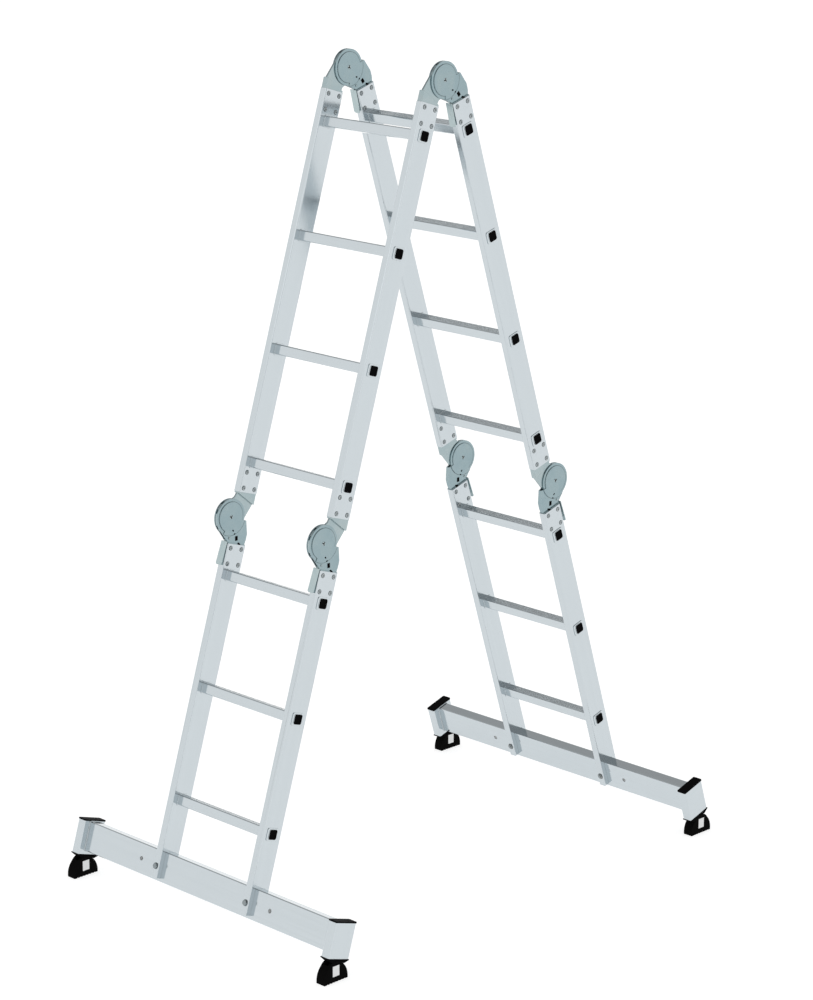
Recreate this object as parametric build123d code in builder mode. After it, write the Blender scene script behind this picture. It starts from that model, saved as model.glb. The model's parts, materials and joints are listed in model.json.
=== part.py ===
from build123d import *

import os
from collections import namedtuple
from math import cos, radians, sin, sqrt

os.makedirs("parts", exist_ok=True)

# Multi position ladder, standing as a step ladder. Millimetres, +Z up, origin on the floor under the top
# hinge. X runs along the rungs. Each leg is measured by n, the distance outward from the plane through the
# top hinge axis, and u, the distance down the leg from that axis.

# legs
leg_angle = 17.525  # from the vertical, each leg
front, back = -1, 1

# rails
rail_x = 162.0
rail_width = 20.0
rail_depth = 60.0
rail_wall = 1.5
rail_centre = 34.0  # n
rail_radius = 3.0
rail_end_gap = 64.0  # from a hinge axis to the rail's end
rail_bottom = 2019.0  # u

# rungs
rung_pitch = 280.0
first_rung = 140.5  # u
upper_rungs = 4
lower_rungs = 3
rung_size = 25.0
rung_wall = 1.5
rung_end = 174.6  # half length
rung_radius = 3.0
groove_width = 1.6
groove_depth = 0.7
groove_pitch = 4.0
collar_depth = 36.0
collar_height = 31.0
collar_thickness = 1.6

# hinges
top_axis_n = 0.0
mid_axis_n = 69.0
mid_axis_u = 1120.0
leaf_half = 2.5
case_inner = 2.7
case_sheet = 5.5
case_face = 7.0
leaf_disc = 43.5
case_disc = 44.5
boss_radius = 38.0
cam_radius = 47.0
pin_radius = 5.0
pin_clearance = 0.05
insert_half = 8.3
insert_depth = 56.4
insert_wall = 2.4
insert_length = 60.0
lock_angles = (0.0, 90.0, 145.0, 179.5)  # folds from straight at which the pawl meets a notch
nose_angle = 45.0
nose_half = 4.0
nose_gap = 0.5
notch_half = 5.2
notch_depth = 4.0
pivot_s, pivot_v = 9.0, 52.0  # lever pivot from the hinge axis
pivot_radius = 2.5
lever_half = 9.7
lever_sheet = 1.8
pawl_half = 2.4

# rivets through the rails and hinge inserts
rivet_rows = (74.5, 113.5)  # from the hinge axis
rivet_offset = 18.0
rivet_radius = 2.5
rivet_head = 5.2
rivet_head_height = 1.5

# stabilisers
beam_depth = 31.0
beam_height = 75.0
beam_wall = 2.0
beam_u = 1990.0
post_x = 452.0
post_width = 25.0
post_depth = 67.5
post_wall = 2.5
post_top, post_bottom = 1951.5, 2037.0
spare_hole_x = 232.0
spare_hole_radius = 5.5
bolt_radius = 4.0
bolt_clearance = 0.2
bolt_flats = 13.0
bolt_head = 4.0
nut_height = 3.0

# feet
foot_pivot_u = 2067.5
foot_pivot_height = 24.0
shoe_half_length = 37.0
shoe_half_width = 13.5
shoe_drum = 27.5
tongue_half = 6.0
tongue_radius = 9.0
trunnion_radius = 4.0
insert_plate = (20.8, 25.8)

angle = radians(leg_angle)
axis_height = foot_pivot_height + foot_pivot_u * cos(angle) - rail_centre * sin(angle)
foot_y = rail_centre * cos(angle) + foot_pivot_u * sin(angle)

End = namedtuple("End", "leg axis_n axis_u inward along")
ends = {
    "top_front": End(front, top_axis_n, 0.0, 1, 1),
    "top_back": End(back, top_axis_n, 0.0, 1, 1),
    "front_upper": End(front, mid_axis_n, mid_axis_u, -1, -1),
    "front_lower": End(front, mid_axis_n, mid_axis_u, -1, 1),
    "back_upper": End(back, mid_axis_n, mid_axis_u, -1, -1),
    "back_lower": End(back, mid_axis_n, mid_axis_u, -1, 1),
}
sides = {"left": -1, "right": 1}


def n_dir(leg):
    return Vector(0, leg * cos(angle), sin(angle))


def u_dir(leg):
    return Vector(0, leg * sin(angle), -cos(angle))


def place(leg, x, n, u):
    return Vector(x, 0, axis_height) + n_dir(leg) * n + u_dir(leg) * u


def side_plane(leg, x, n=0, u=0):
    # seen along X: local x is n, local y is u
    return Plane(origin=place(leg, x, n, u), x_dir=n_dir(leg), z_dir=n_dir(leg).cross(u_dir(leg)))


def cross_plane(leg, x, n, u):
    # across the leg: local x is X, extrudes down the leg
    return Plane(origin=place(leg, x, n, u), x_dir=(1, 0, 0), z_dir=u_dir(leg))


def s_dir(end):
    # from the hinge axis towards the rail's centre line
    return n_dir(end.leg) * end.inward


def w_dir(end):
    # from the hinge axis along its own rail
    return u_dir(end.leg) * end.along


def rail_s(end):
    return abs(rail_centre - end.axis_n)


def hinge_plane(end, x, s=0, w=0):
    origin = place(end.leg, x, end.axis_n, end.axis_u) + s_dir(end) * s + w_dir(end) * w
    return Plane(origin=origin, x_dir=s_dir(end), z_dir=s_dir(end).cross(w_dir(end)))


def insert_plane(end, x, w):
    return Plane(origin=hinge_plane(end, x, rail_s(end), w).origin, x_dir=(1, 0, 0), z_dir=w_dir(end))


def rivet_points(end):
    return [(rail_s(end) + side * rivet_offset, w) for side in (-1, 1) for w in rivet_rows]


def rung_levels(section):
    if section.endswith("upper"):
        return [first_rung + i * rung_pitch for i in range(upper_rungs)]
    return [first_rung + (i + upper_rungs) * rung_pitch for i in range(lower_rungs)]


def leg_of(section):
    return front if section.startswith("front") else back


def make_rail(section, side):
    leg, x = leg_of(section), sides[side] * rail_x
    upper = section.endswith("upper")
    start = rail_end_gap if upper else mid_axis_u + rail_end_gap
    stop = mid_axis_u - rail_end_gap if upper else rail_bottom
    top_end = ends["top_front" if leg == front else "top_back"]
    hinge_ends = [top_end, ends[section]] if upper else [ends[section]]
    inner_width = rail_width - 2 * rail_wall
    inner_depth = rail_depth - 2 * rail_wall
    with BuildPart() as rail:
        with BuildSketch(cross_plane(leg, x, rail_centre, start)):
            RectangleRounded(rail_width, rail_depth, rail_radius)
            RectangleRounded(inner_width, inner_depth, rail_radius - rail_wall, mode=Mode.SUBTRACT)
        extrude(amount=stop - start)
        with BuildSketch(side_plane(leg, x)):
            with Locations(*[(rail_centre, u) for u in rung_levels(section)]):
                RectangleRounded(rung_size, rung_size, rung_radius)
        extrude(amount=rail_width, both=True, mode=Mode.SUBTRACT)
        for end in hinge_ends:
            with BuildSketch(hinge_plane(end, x)):
                with Locations(*rivet_points(end)):
                    Circle(rivet_radius)
            extrude(amount=rail_width, both=True, mode=Mode.SUBTRACT)
        if not upper:
            slot_top = beam_u - beam_height / 2
            with BuildSketch(side_plane(leg, x)):
                with Locations((rail_centre, slot_top)):
                    Rectangle(beam_depth, 2 * (rail_bottom - slot_top), align=(Align.CENTER, Align.MIN))
            extrude(amount=rail_width, both=True, mode=Mode.SUBTRACT)
            with BuildSketch(bolt_plane(leg, x)):
                Circle(bolt_radius + bolt_clearance)
            extrude(amount=rail_depth, both=True, mode=Mode.SUBTRACT)
    name = f"{section}_rail_{side}"
    rail.part.label = name
    export_step(rail.part, f"parts/{name}.step")


def bolt_plane(leg, x):
    # at a stabiliser bolt, looking outward along n
    return Plane(origin=place(leg, x, rail_centre, beam_u), x_dir=(1, 0, 0), z_dir=n_dir(leg))


def make_rungs(section):
    leg = leg_of(section)
    levels = [(rail_centre, u) for u in rung_levels(section)]
    groove_rows = [(i - 2) * groove_pitch for i in range(5)]
    inner = rung_size - 2 * rung_wall
    with BuildPart() as rungs:
        with BuildSketch(side_plane(leg, 0)):
            with Locations(*levels):
                RectangleRounded(rung_size, rung_size, rung_radius)
                RectangleRounded(inner, inner, rung_radius - rung_wall, mode=Mode.SUBTRACT)
            with Locations(*[(n + row, u - rung_size / 2) for n, u in levels for row in groove_rows]):
                Rectangle(groove_width, 2 * groove_depth, mode=Mode.SUBTRACT)
        extrude(amount=rung_end, both=True)
        # swaged collars against the rails' outer and inner side faces
        outer_face = rail_x + rail_width / 2
        inner_face = rail_x - rail_width / 2
        for side in sides.values():
            for x, depth, height in (
                (outer_face + collar_thickness / 2, collar_depth, collar_height),
                (inner_face - collar_thickness / 2, rung_size + 5, rung_size + 5),
            ):
                with BuildSketch(side_plane(leg, side * x)):
                    with Locations(*levels):
                        RectangleRounded(depth, height, rung_radius + 2)
                        Rectangle(rung_size - rung_wall, rung_size - rung_wall, mode=Mode.SUBTRACT)
                extrude(amount=collar_thickness / 2, both=True)
    name = f"{section}_rungs"
    rungs.part.label = name
    export_step(rungs.part, f"parts/{name}.step")


def make_rung_plugs(section):
    leg = leg_of(section)
    levels = [(rail_centre, u) for u in rung_levels(section)]
    head, spigot_depth = 1.2, 12.0
    inner = rung_size - 2 * rung_wall
    with BuildPart() as plugs:
        for side in sides.values():
            with BuildSketch(side_plane(leg, side * (rung_end + head / 2))):
                with Locations(*levels):
                    RectangleRounded(rung_size - 0.8, rung_size - 0.8, rung_radius)
            extrude(amount=head / 2, both=True)
            with BuildSketch(side_plane(leg, side * (rung_end - spigot_depth / 2))):
                with Locations(*levels):
                    RectangleRounded(inner - 0.4, inner - 0.4, rung_radius - rung_wall)
                    Rectangle(inner - 4, inner - 4, mode=Mode.SUBTRACT)
            extrude(amount=spigot_depth / 2, both=True)
    name = f"{section}_rung_plugs"
    plugs.part.label = name
    export_step(plugs.part, f"parts/{name}.step")


def make_rivets(section):
    leg = leg_of(section)
    top_end = ends["top_front" if leg == front else "top_back"]
    hinge_ends = [top_end, ends[section]] if section.endswith("upper") else [ends[section]]
    head_x = (rail_width + rivet_head_height) / 2
    with BuildPart() as rivets:
        for end in hinge_ends:
            for s, w in rivet_points(end):
                for side in sides.values():
                    centre = hinge_plane(end, side * rail_x, s, w).origin
                    with Locations(centre):
                        Cylinder(rivet_radius, rail_width, rotation=(0, 90, 0))
                    for way in (-1, 1):
                        with Locations(centre + Vector(way * head_x, 0, 0)):
                            Cone(rivet_head, rivet_head - 1.2, rivet_head_height, rotation=(0, way * 90, 0))
                        with Locations(centre + Vector(way * (head_x + 0.4), 0, 0)):
                            Cylinder(1.7, rivet_head_height, rotation=(0, 90, 0), mode=Mode.SUBTRACT)
    name = f"{section}_rivets"
    rivets.part.label = name
    export_step(rivets.part, f"parts/{name}.step")


def make_plain_leaf(end, name, side):
    # one steel plate with the hinge disc, set between the other half's covers, and a boxed rail insert
    x = sides[side] * rail_x
    near, far = rail_s(end) - insert_depth / 2, rail_s(end) + insert_depth / 2
    arm = [(0, 0), (36, -15), (46.4, 0), (far, 37.5), (far, 66), (near, 66), (near, 61), (3, 50)]
    arm += [(-10, 38.7)]
    flange = [(far, 37.5), (far, rail_end_gap), (near, rail_end_gap), (near, 60.5)]
    with BuildPart() as leaf:
        with BuildSketch(hinge_plane(end, x)):
            Circle(leaf_disc)
            with BuildLine():
                Polyline(*arm, close=True)
            make_face()
            Circle(pin_radius + pin_clearance, mode=Mode.SUBTRACT)
            # the leaf's own direction for a fold is the mirror of the pawl's, turned back by that fold
            for fold in lock_angles:
                with PolarLocations(leaf_disc, 1, start_angle=-nose_angle - fold):
                    Rectangle(2 * notch_depth, 2 * notch_half, mode=Mode.SUBTRACT)
        extrude(amount=leaf_half, both=True)
        with BuildSketch(hinge_plane(end, x)):
            with BuildLine():
                Polyline(*flange, close=True)
            make_face()
        extrude(amount=insert_half, both=True)
        with BuildSketch(insert_plane(end, x, rail_end_gap)):
            RectangleRounded(2 * insert_half, insert_depth, rail_radius - rail_wall)
            Rectangle(2 * (insert_half - insert_wall), insert_depth - 2 * insert_wall, mode=Mode.SUBTRACT)
        extrude(amount=insert_length)
        with BuildSketch(hinge_plane(end, x)):
            with Locations(*rivet_points(end)):
                Circle(rivet_radius)
        extrude(amount=rail_width, both=True, mode=Mode.SUBTRACT)
    leaf.part.label = name
    export_step(leaf.part, f"parts/{name}.step")


def make_lock_case(end, name, side):
    # two cover sheets with a raised disc each and a boxed rail insert
    x = sides[side] * rail_x
    near, far = rail_s(end) - insert_depth / 2, rail_s(end) + insert_depth / 2
    outline = [(0, 0), (44, 3), (53, 3), (65, 35), (65, 51), (far, 62), (far, 68)]
    outline += [(near, 68), (near, 61.5), (-3, 53.5), (-20, 39.8)]
    wall = [(53, 3), (65, 35), (65, 51), (far, 62), (far, 68), (far - 3, 68), (far - 3, 61.5), (62, 50.5)]
    wall += [(62, 35.5), (50.5, 5.5)]
    joint = [(near, 62), (far, 62), (far, rail_end_gap), (near, rail_end_gap)]
    window = [(26.8, 45.3), (35.4, 42.4), (39.2, 53.6), (30.6, 56.5)]
    corner_hole = [(43.5, 58.8), (37.6, 64.4), (50, 64.8)]
    cam_start, cam_stop = 4.0, 106.0
    with BuildPart() as case:
        for way in (-1, 1):
            with BuildSketch(hinge_plane(end, x + way * (case_inner + case_sheet) / 2)):
                Circle(case_disc)
                with BuildLine():
                    Polyline(*outline, close=True)
                make_face()
            extrude(amount=(case_sheet - case_inner) / 2, both=True)
            with BuildSketch(hinge_plane(end, x + way * (case_sheet + case_face) / 2)):
                Circle(boss_radius)
                with BuildLine():
                    rim = CenterArc((0, 0), cam_radius, cam_start, cam_stop - cam_start)
                    Line((0, 0), rim @ 0)
                    Line(rim @ 1, (0, 0))
                make_face()
            extrude(amount=(case_face - case_sheet) / 2, both=True)
            with BuildSketch(hinge_plane(end, x + way * (case_inner + insert_half) / 2)):
                with BuildLine():
                    Polyline(*joint, close=True)
                make_face()
            extrude(amount=(insert_half - case_inner) / 2, both=True)
        with BuildSketch(hinge_plane(end, x)):
            with BuildLine():
                Polyline(*wall, close=True)
            make_face()
        extrude(amount=case_sheet, both=True)
        with BuildSketch(insert_plane(end, x, rail_end_gap)):
            RectangleRounded(2 * insert_half, insert_depth, rail_radius - rail_wall)
            Rectangle(2 * (insert_half - insert_wall), insert_depth - 2 * insert_wall, mode=Mode.SUBTRACT)
        extrude(amount=insert_length)
        with BuildSketch(hinge_plane(end, x)):
            Circle(pin_radius)
            with Locations((pivot_s, pivot_v)):
                Circle(pivot_radius)
            with Locations(*rivet_points(end)):
                Circle(rivet_radius)
            for hole in (window, corner_hole):
                with BuildLine():
                    Polyline(*hole, close=True)
                make_face()
        extrude(amount=rail_width, both=True, mode=Mode.SUBTRACT)
    case.part.label = name
    export_step(case.part, f"parts/{name}.step")


def make_lever(end, name, side):
    # the release lever: a finger strip along the rail, a neck to the pivot and the pawl that meets the disc
    x = sides[side] * rail_x
    nose = leaf_disc + nose_gap
    strip_top, strip_bottom = (0.2, 60.0), (-3.6, 119.0)
    strip = [strip_top, strip_bottom, (lever_sheet - 3.6, 119.1), (lever_sheet + 0.2, 60.1)]
    diagonal = sqrt(0.5)
    tip_far = (diagonal * (nose + nose_half), diagonal * (nose - nose_half))
    tip_near = (diagonal * (nose - nose_half), diagonal * (nose + nose_half))
    pawl = [(0.0, 61.0), (-0.6, 72.0), (1.1, 72.0), (2.6, 63.5), (6.0, 60.9), (13.0, 58.8), (24.0, 55.0)]
    pawl += [(36.0, 44.0), (39.6, 33.9), tip_far, tip_near, (29.7, 35.3), (11.5, 47.2), (4.0, 48.0)]
    with BuildPart() as lever:
        with BuildSketch(hinge_plane(end, x)):
            with BuildLine():
                Polyline(*strip, close=True)
            make_face()
        extrude(amount=lever_half, both=True)
        short = [e for e in lever.edges() if abs(e.length - lever_sheet) < 0.05]
        lowest = sorted(short, key=lambda e: (e.center() - hinge_plane(end, x).origin).dot(w_dir(end)))[-2:]
        fillet(lowest, radius=5)
        with BuildSketch(hinge_plane(end, x)):
            with BuildLine():
                Polyline(*pawl, close=True)
            make_face()
            with Locations((pivot_s, pivot_v)):
                Circle(pivot_radius + pin_clearance, mode=Mode.SUBTRACT)
        extrude(amount=pawl_half, both=True)
    lever.part.label = name
    export_step(lever.part, f"parts/{name}.step")


def make_hinge_pins(end, name):
    # the hinge pin and the lever's pivot pin of the left and right hinge
    with BuildPart() as pins:
        for side in sides.values():
            for s, w, radius in ((0, 0, pin_radius), (pivot_s, pivot_v, pivot_radius)):
                with Locations(hinge_plane(end, side * rail_x, s, w).origin):
                    Cylinder(radius, 2 * case_face + 0.6, rotation=(0, 90, 0))
    pins.part.label = name
    export_step(pins.part, f"parts/{name}.step")


def make_lock_springs(end, name):
    # flat springs behind the pawls, held in the shoulder
    anchor = rail_s(end) + insert_depth / 2 - 2.7
    strip = [(anchor, 59.2), (46, 56), (30.5, 55.6), (30.5, 54.8), (46, 55.2), (anchor, 58.4)]
    with BuildPart() as springs:
        for side in sides.values():
            with BuildSketch(hinge_plane(end, side * rail_x)):
                with BuildLine():
                    Polyline(*strip, close=True)
                make_face()
            extrude(amount=pawl_half, both=True)
    springs.part.label = name
    export_step(springs.part, f"parts/{name}.step")


def make_stabiliser(leg, name):
    # a box beam across the rails' forked ends with a welded end post at each end
    inner_end = post_x - post_width / 2
    with BuildPart() as stabiliser:
        with BuildSketch(side_plane(leg, 0)):
            with Locations((rail_centre, beam_u)):
                RectangleRounded(beam_depth, beam_height, 3)
        extrude(amount=inner_end, both=True)
        for side in sides.values():
            with BuildSketch(cross_plane(leg, side * post_x, rail_centre, post_top)):
                RectangleRounded(post_width, post_depth, 3)
            extrude(amount=post_bottom - post_top)
        with BuildSketch(side_plane(leg, 0)):
            with Locations((rail_centre, beam_u)):
                Rectangle(beam_depth - 2 * beam_wall, beam_height - 2 * beam_wall)
        extrude(amount=inner_end, both=True, mode=Mode.SUBTRACT)
        for side in sides.values():
            with BuildSketch(cross_plane(leg, side * post_x, rail_centre, post_top)):
                Rectangle(post_width - 2 * post_wall, post_depth - 2 * post_wall)
            extrude(amount=post_bottom - post_top, mode=Mode.SUBTRACT)
            with BuildSketch(bolt_plane(leg, side * rail_x)):
                Circle(bolt_radius + bolt_clearance)
            extrude(amount=beam_depth, both=True, mode=Mode.SUBTRACT)
            with BuildSketch(bolt_plane(leg, side * spare_hole_x)):
                Circle(spare_hole_radius)
            extrude(amount=beam_depth, both=True, mode=Mode.SUBTRACT)
    stabiliser.part.label = name
    export_step(stabiliser.part, f"parts/{name}.step")


def make_beam_bolts(leg, name):
    half = rail_depth / 2
    with BuildPart() as bolts:
        for side in sides.values():
            plane = bolt_plane(leg, side * rail_x)
            with BuildSketch(plane.offset(-half)):
                Circle(bolt_radius)
            extrude(amount=rail_depth)
            with BuildSketch(plane.offset(half)):
                RegularPolygon(bolt_flats / 2, 6, major_radius=False)
            extrude(amount=bolt_head)
            with BuildSketch(plane.offset(-half)):
                RegularPolygon(bolt_flats / 2, 6, major_radius=False)
            extrude(amount=-nut_height)
    bolts.part.label = name
    export_step(bolts.part, f"parts/{name}.step")


def make_post_caps(leg, name):
    plate, spigot = 3.5, 12.0
    with BuildPart() as caps:
        for side in sides.values():
            with BuildSketch(cross_plane(leg, side * post_x, rail_centre, post_top - plate)):
                RectangleRounded(post_width + 2, post_depth + 2, 3)
            extrude(amount=plate)
            with BuildSketch(cross_plane(leg, side * post_x, rail_centre, post_top)):
                Rectangle(post_width - 2 * post_wall - 0.4, post_depth - 2 * post_wall - 0.4)
                Rectangle(post_width - 2 * post_wall - 5, post_depth - 2 * post_wall - 5, mode=Mode.SUBTRACT)
            extrude(amount=spigot)
    caps.part.label = name
    export_step(caps.part, f"parts/{name}.step")


def make_foot_sockets(leg, name):
    # a plug in each post with a flange, a skirt hollowed round the shoe and a tongue with its trunnions
    flange_bottom = post_bottom + 2
    half = post_depth / 2
    skirt = [(-half - 0.6, 0), (-half + 13, 7), (half - 13, 7), (half + 0.6, 0)]
    with BuildPart() as sockets:
        for side in sides.values():
            x = side * post_x
            with BuildSketch(side_plane(leg, x, rail_centre, post_bottom)):
                Rectangle(post_depth - 2 * post_wall - 0.4, 15, align=(Align.CENTER, Align.MAX))
            extrude(amount=(post_width - 2 * post_wall) / 2 - 0.2, both=True)
            with BuildSketch(side_plane(leg, x, rail_centre, flange_bottom)):
                Rectangle(post_depth + 2, 2, align=(Align.CENTER, Align.MAX))
                with BuildLine():
                    Polyline(*skirt, close=True)
                make_face()
                with Locations((0, foot_pivot_u - flange_bottom)):
                    Circle(shoe_drum + 0.6, mode=Mode.SUBTRACT)
            extrude(amount=post_width / 2 + 0.8, both=True)
            with BuildSketch(side_plane(leg, x, rail_centre, foot_pivot_u)):
                Circle(tongue_radius)
                Rectangle(2 * tongue_radius, foot_pivot_u - post_bottom, align=(Align.CENTER, Align.MAX))
            extrude(amount=tongue_half, both=True)
            with Locations(place(leg, x, rail_centre, foot_pivot_u)):
                Cylinder(trunnion_radius, 23.6, rotation=(0, 90, 0))
    sockets.part.label = name
    export_step(sockets.part, f"parts/{name}.step")


def shoe_plane(leg, x):
    # on the floor under the shoe's trunnions: local x is Y, local y is Z
    return Plane(origin=(x, leg * foot_y, 0), x_dir=(0, 1, 0), z_dir=(1, 0, 0))


def make_shoe(leg, name, side):
    x = side * post_x
    rise = 39.0
    neck = sqrt(shoe_drum**2 - (rise - foot_pivot_height) ** 2)
    crown = foot_pivot_height + shoe_drum
    with BuildPart() as shoe:
        with BuildSketch(shoe_plane(leg, x)):
            with BuildLine():
                Line((-shoe_half_length, 0), (shoe_half_length, 0))
                Line((shoe_half_length, 0), (shoe_half_length, 5))
                ThreePointArc((shoe_half_length, 5), (34.2, 22), (neck, rise))
                ThreePointArc((neck, rise), (0, crown), (-neck, rise))
                ThreePointArc((-neck, rise), (-34.2, 22), (-shoe_half_length, 5))
                Line((-shoe_half_length, 5), (-shoe_half_length, 0))
            make_face()
            # tread
            with Locations(*[(-27 + i * 9, 0) for i in range(7)]):
                Rectangle(3, 3, mode=Mode.SUBTRACT)
        extrude(amount=shoe_half_width, both=True)
        with BuildSketch(shoe_plane(leg, x)):
            with Locations((0, 14)):
                Rectangle(39, 50, align=(Align.CENTER, Align.MIN))
        extrude(amount=tongue_half + 0.4, both=True, mode=Mode.SUBTRACT)
        with BuildSketch(shoe_plane(leg, x)):
            with Locations((0, foot_pivot_height)):
                Circle(trunnion_radius + pin_clearance)
        extrude(amount=shoe_half_width, both=True, mode=Mode.SUBTRACT)
        for way in (-1, 1):
            with BuildSketch(shoe_plane(leg, x + way * (shoe_half_width - 0.75))):
                with Locations((0, 27)):
                    Rectangle(*insert_plate)
            extrude(amount=0.75, both=True, mode=Mode.SUBTRACT)
    shoe.part.label = name
    export_step(shoe.part, f"parts/{name}.step")


def make_shoe_inserts(leg, name, side):
    with BuildPart() as inserts:
        for way in (-1, 1):
            with BuildSketch(shoe_plane(leg, side * post_x + way * (shoe_half_width - 0.65))):
                with Locations((0, 27)):
                    Rectangle(insert_plate[0] - 0.2, insert_plate[1] - 0.2)
            extrude(amount=0.85, both=True)
    inserts.part.label = name
    export_step(inserts.part, f"parts/{name}.step")


for section in ("front_upper", "back_upper", "front_lower", "back_lower"):
    for side in sides:
        make_rail(section, side)
    make_rungs(section)
    make_rung_plugs(section)
    make_rivets(section)

for hinge, leaf_end, case_end in (
    ("top", "top_front", "top_back"),
    ("front", "front_upper", "front_lower"),
    ("back", "back_upper", "back_lower"),
):
    for side in sides:
        make_plain_leaf(ends[leaf_end], f"{hinge}_hinge_leaf_{side}", side)
        make_lock_case(ends[case_end], f"{hinge}_hinge_case_{side}", side)
        make_lever(ends[case_end], f"{hinge}_hinge_lever_{side}", side)
    make_hinge_pins(ends[case_end], f"{hinge}_hinge_pins")
    make_lock_springs(ends[case_end], f"{hinge}_hinge_springs")

for leg_name, leg in (("front", front), ("back", back)):
    make_stabiliser(leg, f"{leg_name}_stabiliser")
    make_beam_bolts(leg, f"{leg_name}_stabiliser_bolts")
    make_post_caps(leg, f"{leg_name}_post_caps")
    make_foot_sockets(leg, f"{leg_name}_foot_sockets")
    for side_name, side in sides.items():
        make_shoe(leg, f"{leg_name}_shoe_{side_name}", side)
        make_shoe_inserts(leg, f"{leg_name}_shoe_inserts_{side_name}", side)
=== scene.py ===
import json
import math

import bmesh
import bpy
from mathutils import Matrix, Vector


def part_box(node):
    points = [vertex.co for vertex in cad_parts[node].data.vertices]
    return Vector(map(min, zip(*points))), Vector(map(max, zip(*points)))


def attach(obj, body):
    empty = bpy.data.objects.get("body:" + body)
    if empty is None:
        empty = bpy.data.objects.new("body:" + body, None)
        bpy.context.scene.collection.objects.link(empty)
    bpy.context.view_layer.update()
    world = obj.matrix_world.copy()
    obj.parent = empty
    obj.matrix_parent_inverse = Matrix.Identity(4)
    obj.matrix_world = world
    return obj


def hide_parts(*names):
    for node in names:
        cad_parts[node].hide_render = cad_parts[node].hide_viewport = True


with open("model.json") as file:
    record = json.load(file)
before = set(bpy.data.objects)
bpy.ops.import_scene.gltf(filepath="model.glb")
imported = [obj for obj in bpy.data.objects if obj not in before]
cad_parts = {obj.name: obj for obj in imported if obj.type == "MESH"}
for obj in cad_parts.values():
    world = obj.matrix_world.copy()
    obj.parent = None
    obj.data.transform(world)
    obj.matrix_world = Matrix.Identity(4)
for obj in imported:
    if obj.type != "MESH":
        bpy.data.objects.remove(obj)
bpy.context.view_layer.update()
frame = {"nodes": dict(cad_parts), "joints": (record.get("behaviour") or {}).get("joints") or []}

mm = 0.001
jointSpot = {joint["name"]: Vector(joint["pos_m"]) for joint in frame["joints"]}

# the ladder's own measures: n is outward from the plane of the top hinge, u is down the leg from its axis
ladder = {
    "lean": math.radians(17.525),
    "railX": 162 * mm,
    "railHalfWidth": 10 * mm,
    "railCentre": 34 * mm,
    "railHalfDepth": 30 * mm,
    "rungLevels": {
        "upper": [(140.5 + 280 * i) * mm for i in range(4)],
        "lower": [(140.5 + 280 * i) * mm for i in range(4, 7)],
    },
    "beamU": 1990 * mm,
    "beamSize": (31 * mm, 75 * mm),
    "beamEnd": 439.5 * mm,
    "rivetRows": (74.5 * mm, 113.5 * mm),  # from each hinge axis
    "rivetOffset": 18 * mm,
    "midAxis": (69 * mm, 1120 * mm),
}
sideSign = {"left": -1, "right": 1}
legSign = {"front": -1, "back": 1}
sections = ("front_upper", "front_lower", "back_upper", "back_lower")


def outward(leg):
    return Vector((0, leg * math.cos(ladder["lean"]), math.sin(ladder["lean"])))


def downLeg(leg):
    return Vector((0, leg * math.sin(ladder["lean"]), -math.cos(ladder["lean"])))


def onLeg(leg, x, n, u):
    return Vector((x, 0, jointSpot["top_fold"].z)) + outward(leg) * n + downLeg(leg) * u


def axes(spot, xAxis, yAxis, zAxis):  # a placing matrix from a point and three directions
    turned = Matrix((xAxis, yAxis, zAxis)).transposed().to_4x4()
    turned.translation = spot
    return turned


# each hinge end: leg, axis n and u, which way the rail's centre lies, which way its rail runs
hingeEnds = {
    "topFront": (-1, (0, 0), 1, 1),
    "topBack": (1, (0, 0), 1, 1),
    "frontUpper": (-1, ladder["midAxis"], -1, -1),
    "frontLower": (-1, ladder["midAxis"], -1, 1),
    "backUpper": (1, ladder["midAxis"], -1, -1),
    "backLower": (1, ladder["midAxis"], -1, 1),
}
railEnds = {
    "front_upper": ("topFront", "frontUpper"),
    "back_upper": ("topBack", "backUpper"),
    "front_lower": ("frontLower",),
    "back_lower": ("backLower",),
}
hinges = {
    "top": ("topBack", "back_upper"),
    "front": ("frontLower", "front_lower"),
    "back": ("backLower", "back_lower"),
}


# local x is towards the rail's centre, y along the rail, z out of the side face
def atHinge(endName, x, s, w, face=1):
    leg, (axisN, axisU), inward, along = hingeEnds[endName]
    spot = onLeg(leg, x, axisN, axisU) + outward(leg) * inward * s + downLeg(leg) * along * w
    return axes(spot, outward(leg) * inward, downLeg(leg) * along, Vector((face, 0, 0)))


def railOffset(endName):
    return abs(ladder["railCentre"] - hingeEnds[endName][1][0])


# node groups and materials
def newGroup(name, inputs, outputs):
    group = bpy.data.node_groups.new(name, "ShaderNodeTree")
    for label, kind, value in inputs:
        socket = group.interface.new_socket(name=label, in_out="INPUT", socket_type="NodeSocket" + kind)
        if value is not None:
            socket.default_value = value
    for label, kind in outputs:
        group.interface.new_socket(name=label, in_out="OUTPUT", socket_type="NodeSocket" + kind)
    return group, group.nodes.new("NodeGroupInput").outputs, group.nodes.new("NodeGroupOutput").inputs


def addNode(tree, kind, setup=None, values=None, feeds=None):
    made = tree.nodes.new(kind)
    for key, value in (setup or {}).items():
        setattr(made, key, value)
    for key, value in (values or {}).items():
        made.inputs[key].default_value = value
    for key, socket in (feeds or {}).items():
        tree.links.new(socket, made.inputs[key])
    return made.outputs


def mathStep(tree, operation, first, second):
    made = tree.nodes.new("ShaderNodeMath")
    made.operation = operation
    for socket, value in zip(made.inputs, (first, second)):
        if isinstance(value, (int, float)):
            socket.default_value = value
        else:
            tree.links.new(value, socket)
    return made.outputs[0]


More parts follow.
